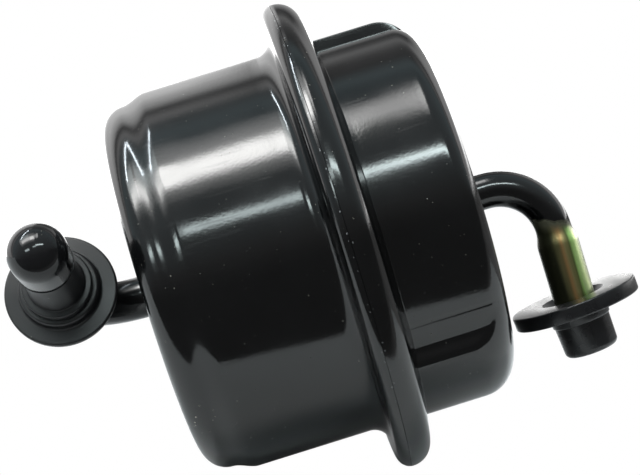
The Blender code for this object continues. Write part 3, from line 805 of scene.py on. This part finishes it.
def cap_plastic(name, base, rough, flow_depth):
    """Black moulded plastic, faintly flow-marked and dusty. Rough is its middle roughness."""
    look = Look(name)
    patch = look.noise(160.0, 3.0)
    flow = look.noise(220.0, 2.0, at=look.stretched((1.0, 0.3, 1.0)))
    dust = look.specks(900.0, 0.22, 0.06)
    colour = look.mix(look.span(patch, 0.3, 0.75), base, tuple(1.7 * c for c in base))
    look.colour(look.mix(look.math("MULTIPLY", dust, 0.12), colour, DUST))
    look.gloss(look.span(flow, 0.3, 0.7, rough - 0.03, rough + 0.04))
    grain = look.noise(1400.0, 2.0)
    look.bump((flow, flow_depth), (grain, CAP_GRAIN_DEPTH), (dust, CAP_DUST_HEIGHT))
    look.set(IOR=CAP_IOR)
    return look


def inlet_cap_plastic():
    """The inlet cap's plastic: a glossy nose, over a duller neck and disc."""
    look = cap_plastic("inlet_cap_black", CAP_BLACK, CAP_GLOSS, CAP_FLOW_SMOOTH)
    leg = inlet_leg_direction()
    along = look.add("ShaderNodeVectorMath", operation="DOT_PRODUCT")
    look.join(look.at, along.inputs[0])
    along.inputs[1].default_value = leg
    nose_from = leg.x * INLET_CORNER_X + INLET_NOSE_EDGE - NOSE_MARGIN
    dull = look.math("LESS_THAN", along.outputs["Value"], nose_from)
    glossy = look.shader.inputs["Roughness"].links[0].from_socket
    look.gloss(look.math("ADD", glossy, look.math("MULTIPLY", dull, CAP_DULLING)))
    look.set(Specular_IOR_Level=CAP_SPECULAR)
    return look.made


def outlet_cap_plastic():
    return cap_plastic("outlet_cap_black", CAP_BLACK, CAP_SATIN, CAP_FLOW_MARKED).made


def braze_paint():
    """Black paint over lumpy braze metal."""
    look = Look("painted_braze")
    lump = look.noise(700.0, 3.0)
    look.colour(look.mix(look.span(lump, 0.35, 0.7), (0.005, 0.005, 0.005), (0.02, 0.019, 0.017)))
    look.gloss(look.span(lump, 0.3, 0.7, 0.22, 0.42))
    look.bump((lump, 0.12 * MM))
    return look.made


def bare_steel(name, tint, grain):
    """Zinc-bright pressed steel with a drawn grain, dull patches and a few stains."""
    look = Look(name)
    drawn = look.noise(1200.0, 2.0, at=look.stretched(grain))
    cloud = look.noise(130.0, 4.0)
    stain = look.span(look.noise(60.0, 4.0), 0.58, 0.7)
    colour = look.mix(look.span(cloud, 0.3, 0.7), tint, tuple(0.72 * c for c in tint))
    look.colour(look.mix(look.math("MULTIPLY", stain, 0.5), colour, (0.24, 0.2, 0.15)))
    look.gloss(look.math("ADD", look.span(drawn, 0.3, 0.7, 0.24, 0.38), look.math("MULTIPLY", stain, 0.2)))
    look.set(Metallic=1.0)
    look.bump((drawn, 0.01 * MM))
    return look.made


def filter_paper():
    """Resin-stiffened cellulose: short fibres, mottled cream, with darker fibres."""
    look = Look("pleated_paper")
    fibre = look.noise(2600.0, 3.0, at=look.stretched((1.0, 0.35, 1.0), (0.3, 0.2, 0.4)))
    mottle = look.noise(240.0, 4.0)
    colour = look.mix(look.span(mottle, 0.3, 0.7), (0.70, 0.55, 0.29), (0.82, 0.70, 0.45))
    look.colour(look.mix(look.span(fibre, 0.52, 0.72), colour, (0.55, 0.40, 0.2)))
    look.gloss(look.span(fibre, 0.3, 0.7, 0.78, 0.95))
    look.bump((fibre, 0.05 * MM))
    return look.made


def potting_resin():
    """Amber potting resin with a rippled surface and trapped bubbles."""
    look = Look("amber_resin")
    ripple = look.noise(180.0, 3.0)
    bubble = look.specks(900.0, 0.3, 0.15)
    look.colour(look.mix(look.span(ripple, 0.3, 0.7), (0.50, 0.36, 0.15), (0.64, 0.50, 0.27)))
    look.gloss(look.span(ripple, 0.3, 0.7, 0.3, 0.48))
    look.bump((ripple, 0.1 * MM), (bubble, 0.05 * MM))
    return look.made


def seal_rubber(name):
    """Matt black nitrile with a fine grain and bloom."""
    look = Look(name)
    bloom = look.noise(140.0, 4.0)
    grain = look.noise(2200.0, 2.0)
    look.colour(look.mix(look.span(bloom, 0.4, 0.75), (0.012, 0.012, 0.012), (0.035, 0.034, 0.032)))
    look.gloss(look.span(bloom, 0.3, 0.7, 0.55, 0.8))
    look.bump((grain, 0.02 * MM))
    return look.made


def dress(piece, look):
    piece.data.materials.clear()
    piece.data.materials.append(look)


def dress_node(name, look):
    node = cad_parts[name]
    for holder in node.material_slots:
        holder.material = look


# ---------------------------------------------------------------- stage


def look_at_matrix():
    """The camera's place: along its line of sight from the can, level by its own roll."""
    yaw = math.radians(CAMERA_YAW)
    rise = math.radians(CAMERA_RISE)
    roll = math.radians(CAMERA_ROLL)
    forward = Vector((math.sin(yaw) * math.cos(rise), math.cos(yaw) * math.cos(rise), -math.sin(rise)))
    level = Vector((math.cos(yaw), -math.sin(yaw), 0))
    up = level.cross(forward)
    right = level * math.cos(roll) - up * math.sin(roll)
    top = level * math.sin(roll) + up * math.cos(roll)
    spot = CAMERA_AIM - forward * CAMERA_DISTANCE
    turn = Matrix((right, top, -forward)).transposed().to_4x4()
    return Matrix.Translation(spot) @ turn


def make_camera():
    data = bpy.data.cameras.new("camera")
    data.lens = CAMERA_LENS
    data.sensor_width = CAMERA_SENSOR
    data.clip_start = 0.01
    data.clip_end = 20.0
    camera = bpy.data.objects.new("camera", data)
    bpy.context.scene.collection.objects.link(camera)
    camera.matrix_world = look_at_matrix()
    bpy.context.scene.camera = camera


def lamp(name, start, end, width, radiance, tint):
    """An area light from start to end, turned towards the can."""
    middle = (start + end) / 2
    along = (end - start).normalized()
    towards = (middle - along * middle.dot(along)).normalized()
    data = bpy.data.lights.new(name, "AREA")
    data.shape = "RECTANGLE"
    data.size = (end - start).length
    data.size_y = width
    data.energy = radiance * math.pi * data.size * width
    data.color = tint
    light = bpy.data.objects.new(name, data)
    light.visible_camera = False
    bpy.context.scene.collection.objects.link(light)
    turn = Matrix((along, towards.cross(along), towards)).transposed().to_4x4()
    light.matrix_world = Matrix.Translation(middle) @ turn


# Layers that give a softbox its soft edges: widths as shares of its width, and the space between them
SOFT_LAYERS = (0.55, 0.85, 1.15, 1.45)
LAYER_GAP = 6 * MM


def softbox(name, rise, left, right, width, radiance, tint):
    """A soft-edged lamp at rise degrees above -Y round the X axis, reaching along X from left to right."""
    a = math.radians(rise)
    for i, share in enumerate(SOFT_LAYERS):
        spot = Vector((0, -math.cos(a), math.sin(a))) * (LAMP_DISTANCE + LAYER_GAP * i)
        start = spot + Vector((left, 0, 0))
        end = spot + Vector((right, 0, 0))
        lamp(f"{name}_{i}", start, end, width * share, radiance / len(SOFT_LAYERS), tint)


WHITE = (1.0, 1.0, 0.985)
BLUISH = (0.86, 1.0, 1.0)
PALE_BLUE = (0.85, 0.93, 1.0)
EDGE_FROM = Vector((-0.12, 0.151, 0.657))
EDGE_TO = Vector((-0.39, -0.088, 0.574))
CARD_FROM = Vector((0.112, 0.7, 0.075))
CARD_TO = Vector((0.252, 0.7, 0.075))


def make_lights():
    """The key lamp and its fading right end, a window and its edge, three bluish strips and a card behind.

    A softbox has its rise in degrees, its left and right ends along X, its width, radiance and colour.
    """
    softbox("key_core", 64.7, -0.50, 0.045, 0.15, 9.5, WHITE)
    softbox("key_hot", 65.0, -0.13, 0.005, 0.13, 12.0, WHITE)
    softbox("key_halo", 68.0, -0.60, 0.040, 0.34, 3.0, WHITE)
    softbox("key_right", 70.6, 0.045, 0.078, 0.18, 5.4, WHITE)
    softbox("key_right_fade", 71.2, 0.078, 0.100, 0.17, 3.2, WHITE)
    softbox("key_right_end", 71.5, 0.100, 0.170, 0.22, 7.5, WHITE)
    softbox("window", 77.0, -0.55, -0.16, 0.20, 2.2, BLUISH)
    softbox("blue_strip", 30.8, -0.09, 0.036, 0.05, 10.5, BLUISH)
    softbox("blue_strip_right", 34.4, 0.038, 0.40, 0.05, 21.0, BLUISH)
    softbox("blue_strip_left", 27.0, -0.48, -0.26, 0.08, 12.0, BLUISH)
    lamp("window_edge", EDGE_FROM, EDGE_TO, 0.02, 40.0, PALE_BLUE)
    lamp("back_card", CARD_FROM, CARD_TO, 0.13, 2.0, WHITE)


# The table has painted shade: it is greyer to the left, and grows paler between these two places along X
TABLE_LEFT_PAINTED_SHADE = (0.62, 0.63, 0.635)
TABLE_RIGHT = (0.83, 0.84, 0.845)
TABLE_FADE_FROM = -0.05
TABLE_FADE_TO = 0.08


def make_floor():
    """A pale table, cut off just in front of the can. It is hidden from the camera but is reflected."""
    tilt = math.radians(FLOOR_TILT)
    along = Vector((math.cos(tilt), 0, -math.sin(tilt)))
    bm = bmesh.new()
    edge = []
    for side, depth in ((-1, -FLOOR_FRONT), (1, -FLOOR_FRONT), (1, FLOOR_DEEP), (-1, FLOOR_DEEP)):
        edge.append(bm.verts.new(FLOOR_REST + along * side * FLOOR_HALF + Vector((0, depth, 0))))
    bm.faces.new(edge)
    mesh = bpy.data.meshes.new("pale_table")
    bm.to_mesh(mesh)
    bm.free()
    table = bpy.data.objects.new("pale_table", mesh)
    bpy.context.scene.collection.objects.link(table)
    look = Look("table_top")
    look.set(Roughness=0.9)
    x, _, _ = look.parts()
    cloud = look.span(look.noise(4.0, 2.0), 0.3, 0.7, -0.05, 0.05)
    # Painted shade on the table: greyer to the left, paler to the right
    share = look.math("ADD", look.span(x, TABLE_FADE_FROM, TABLE_FADE_TO, smooth=True), cloud)
    look.colour(look.mix(share, TABLE_LEFT_PAINTED_SHADE, TABLE_RIGHT))
    dress(table, look.made)
    table.visible_camera = False


# Brightness by degrees round the X axis, 0 towards the camera and 90 overhead, with a share of blue
SKY_SCALE = 6.0
SKY_LOW = [
    (-180, 0.10, 0.0), (-172, 0.25, 0.0), (-120, 0.40, 0.0), (-62, 0.30, 0.0), (-55, 0.105, 0.0),
    (-5, 0.105, 0.0), (3, 0.14, 0.0), (10, 0.20, 0.0), (24, 0.34, 0.1), (40, 0.42, 0.1),
]
SKY = SKY_LOW + [
    (84, 0.6, 0.15), (98, 0.65, 0.2),
    (108, 0.40, 0.1), (115, 1.0, 0.0), (124, 0.15, 0.0), (132, 1.3, 0.0), (140, 1.5, 0.0), (148, 1.6, 0.0),
    (156, 1.25, 0.0), (164, 1.05, 0.0), (172, 1.6, 0.0), (176.3, 6.0, 0.0), (177.6, 3.2, 0.0),
    (180, 2.0, 0.0),
]
# The same for the part of the studio behind and to the right, where the ceiling is darker
SKY_RIGHT = SKY_LOW + [
    (84, 0.5, 0.15), (94, 0.42, 0.2),
    (103, 0.60, 0.2), (113, 0.22, 0.0), (124, 0.26, 0.0), (136, 0.55, 0.0), (142, 0.22, 0.0),
    (150, 0.08, 0.0), (157, 0.30, 0.0), (172, 0.50, 0.0), (175, 0.8, 0.0), (176.3, 6.0, 0.0),
    (177.6, 3.2, 0.0), (180, 2.0, 0.0),
]
# How far the studio is that of the right, by the X part of the direction
SIDE = [(-1.0, 0.0), (-0.01, 0.0), (0.05, 1.0), (0.35, 1.0), (0.6, 0.4), (0.9, 0.0)]


def sky_stops(sky):
    """The stops of a colour ramp that gives a sky's brightness over SKY_SCALE."""
    stops = []
    for degrees, glow, blue in sky:
        grey = glow / SKY_SCALE
        stops.append(((degrees + 180) / 360, (grey * (1 - blue), grey, grey * (1 + 0.3 * blue))))
    return stops


def make_world():
    """Plain white to the camera. Reflections see a bright back, a dark camera side and a banded ceiling."""
    world = bpy.data.worlds.new("studio")
    bpy.context.scene.world = world
    world.use_nodes = True
    tree = world.node_tree
    tree.nodes.clear()
    where = tree.nodes.new("ShaderNodeTexCoord")
    split = tree.nodes.new("ShaderNodeSeparateXYZ")
    tree.links.new(where.outputs["Generated"], split.inputs["Vector"])
    flip = tree.nodes.new("ShaderNodeMath")
    flip.operation = "MULTIPLY"
    flip.inputs[1].default_value = -1.0
    tree.links.new(split.outputs["Y"], flip.inputs[0])
    turn = tree.nodes.new("ShaderNodeMath")
    turn.operation = "ARCTAN2"
    tree.links.new(split.outputs["Z"], turn.inputs[0])
    tree.links.new(flip.outputs["Value"], turn.inputs[1])
    share = tree.nodes.new("ShaderNodeMapRange")
    share.inputs["From Min"].default_value = -math.pi
    share.inputs["From Max"].default_value = math.pi
    tree.links.new(turn.outputs["Value"], share.inputs["Value"])
    across = tree.nodes.new("ShaderNodeMapRange")
    across.inputs["From Min"].default_value = -1.0
    across.inputs["From Max"].default_value = 1.0
    tree.links.new(split.outputs["X"], across.inputs["Value"])
    side = add_ramp(tree, across.outputs["Result"], [((x + 1) / 2, (of, of, of)) for x, of in SIDE])
    glow = tree.nodes.new("ShaderNodeMix")
    glow.data_type = "RGBA"
    tree.links.new(side, glow.inputs["Factor"])
    tree.links.new(add_ramp(tree, share.outputs["Result"], sky_stops(SKY)), glow.inputs[6])
    tree.links.new(add_ramp(tree, share.outputs["Result"], sky_stops(SKY_RIGHT)), glow.inputs[7])
    studio = tree.nodes.new("ShaderNodeBackground")
    studio.inputs["Strength"].default_value = SKY_SCALE
    tree.links.new(glow.outputs[2], studio.inputs["Color"])
    white = tree.nodes.new("ShaderNodeBackground")
    white.inputs["Color"].default_value = (1.0, 1.0, 1.0, 1.0)
    path = tree.nodes.new("ShaderNodeLightPath")
    pick = tree.nodes.new("ShaderNodeMixShader")
    tree.links.new(path.outputs["Is Camera Ray"], pick.inputs["Fac"])
    tree.links.new(studio.outputs["Background"], pick.inputs[1])
    tree.links.new(white.outputs["Background"], pick.inputs[2])
    output = tree.nodes.new("ShaderNodeOutputWorld")
    tree.links.new(pick.outputs["Shader"], output.inputs["Surface"])


def set_tones():
    view = bpy.context.scene.view_settings
    view.view_transform = "Standard"
    view.look = "None"


# ---------------------------------------------------------------- assembly

STEEL = (0.60, 0.61, 0.62)


def build_pieces():
    black = can_enamel()
    for piece, body, node, slot, look in (
        (make_body(), "can", "body_shell", "can_paint", black),
        (make_lid(), "can", "lid_shell", "lid_paint", black),
        (make_inlet_pipe(), "can", "inlet_pipe", "pipe_paint", pipe_enamel()),
        (make_outlet_pipe(), "can", "outlet_pipe", "plated_pipe", plated_pipe()),
        (make_braze("inlet_braze_skin", -BODY_LENGTH - BODY_CROWN, INLET_R, -1), "can",
         "inlet_braze_ring", "inlet_braze", braze_paint()),
        (make_braze("outlet_braze_skin", LID_LENGTH + LID_CROWN, OUTLET_R, 1), "can",
         "outlet_braze_ring", "outlet_braze", braze_paint()),
        (make_inlet_cap(), "inlet_cap", "inlet_cap", "inlet_cap_plastic", inlet_cap_plastic()),
        (make_outlet_cap(), "outlet_cap", "outlet_cap", "outlet_cap_plastic", outlet_cap_plastic()),
    ):
        dress(piece, look)
        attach(piece, body)
        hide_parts(node)


def dress_inner_nodes():
    dress_node("filter_media", filter_paper())
    dress_node("seam_gasket", seal_rubber("gasket_nitrile"))
    dress_node("outlet_grommet", seal_rubber("grommet_nitrile"))
    resin = potting_resin()
    dress_node("inlet_potting", resin)
    dress_node("outlet_potting", resin)
    dress_node("core_tube", bare_steel("core_tube_steel", STEEL, (0.1, 1.0, 1.0)))
    plate = bare_steel("end_plate_steel", (0.62, 0.61, 0.56), (1.0, 0.6, 0.6))
    for name in ("outlet_end_plate", "inlet_end_plate", "spring_seat", "inlet_baffle"):
        dress_node(name, plate)
    dress_node("media_seam_clip", bare_steel("clip_steel", STEEL, (0.1, 1.0, 1.0)))
    dress_node("preload_spring", bare_steel("spring_wire", (0.40, 0.40, 0.41), (0.6, 1.0, 1.0)))


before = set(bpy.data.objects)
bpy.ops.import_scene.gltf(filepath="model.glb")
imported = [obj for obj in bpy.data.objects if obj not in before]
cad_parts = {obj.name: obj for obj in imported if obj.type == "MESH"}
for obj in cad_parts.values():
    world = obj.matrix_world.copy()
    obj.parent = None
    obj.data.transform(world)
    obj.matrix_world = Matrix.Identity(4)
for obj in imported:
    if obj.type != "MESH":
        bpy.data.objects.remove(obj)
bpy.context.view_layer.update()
build_pieces()
dress_inner_nodes()
make_camera()
make_world()
make_lights()
make_floor()
set_tones()
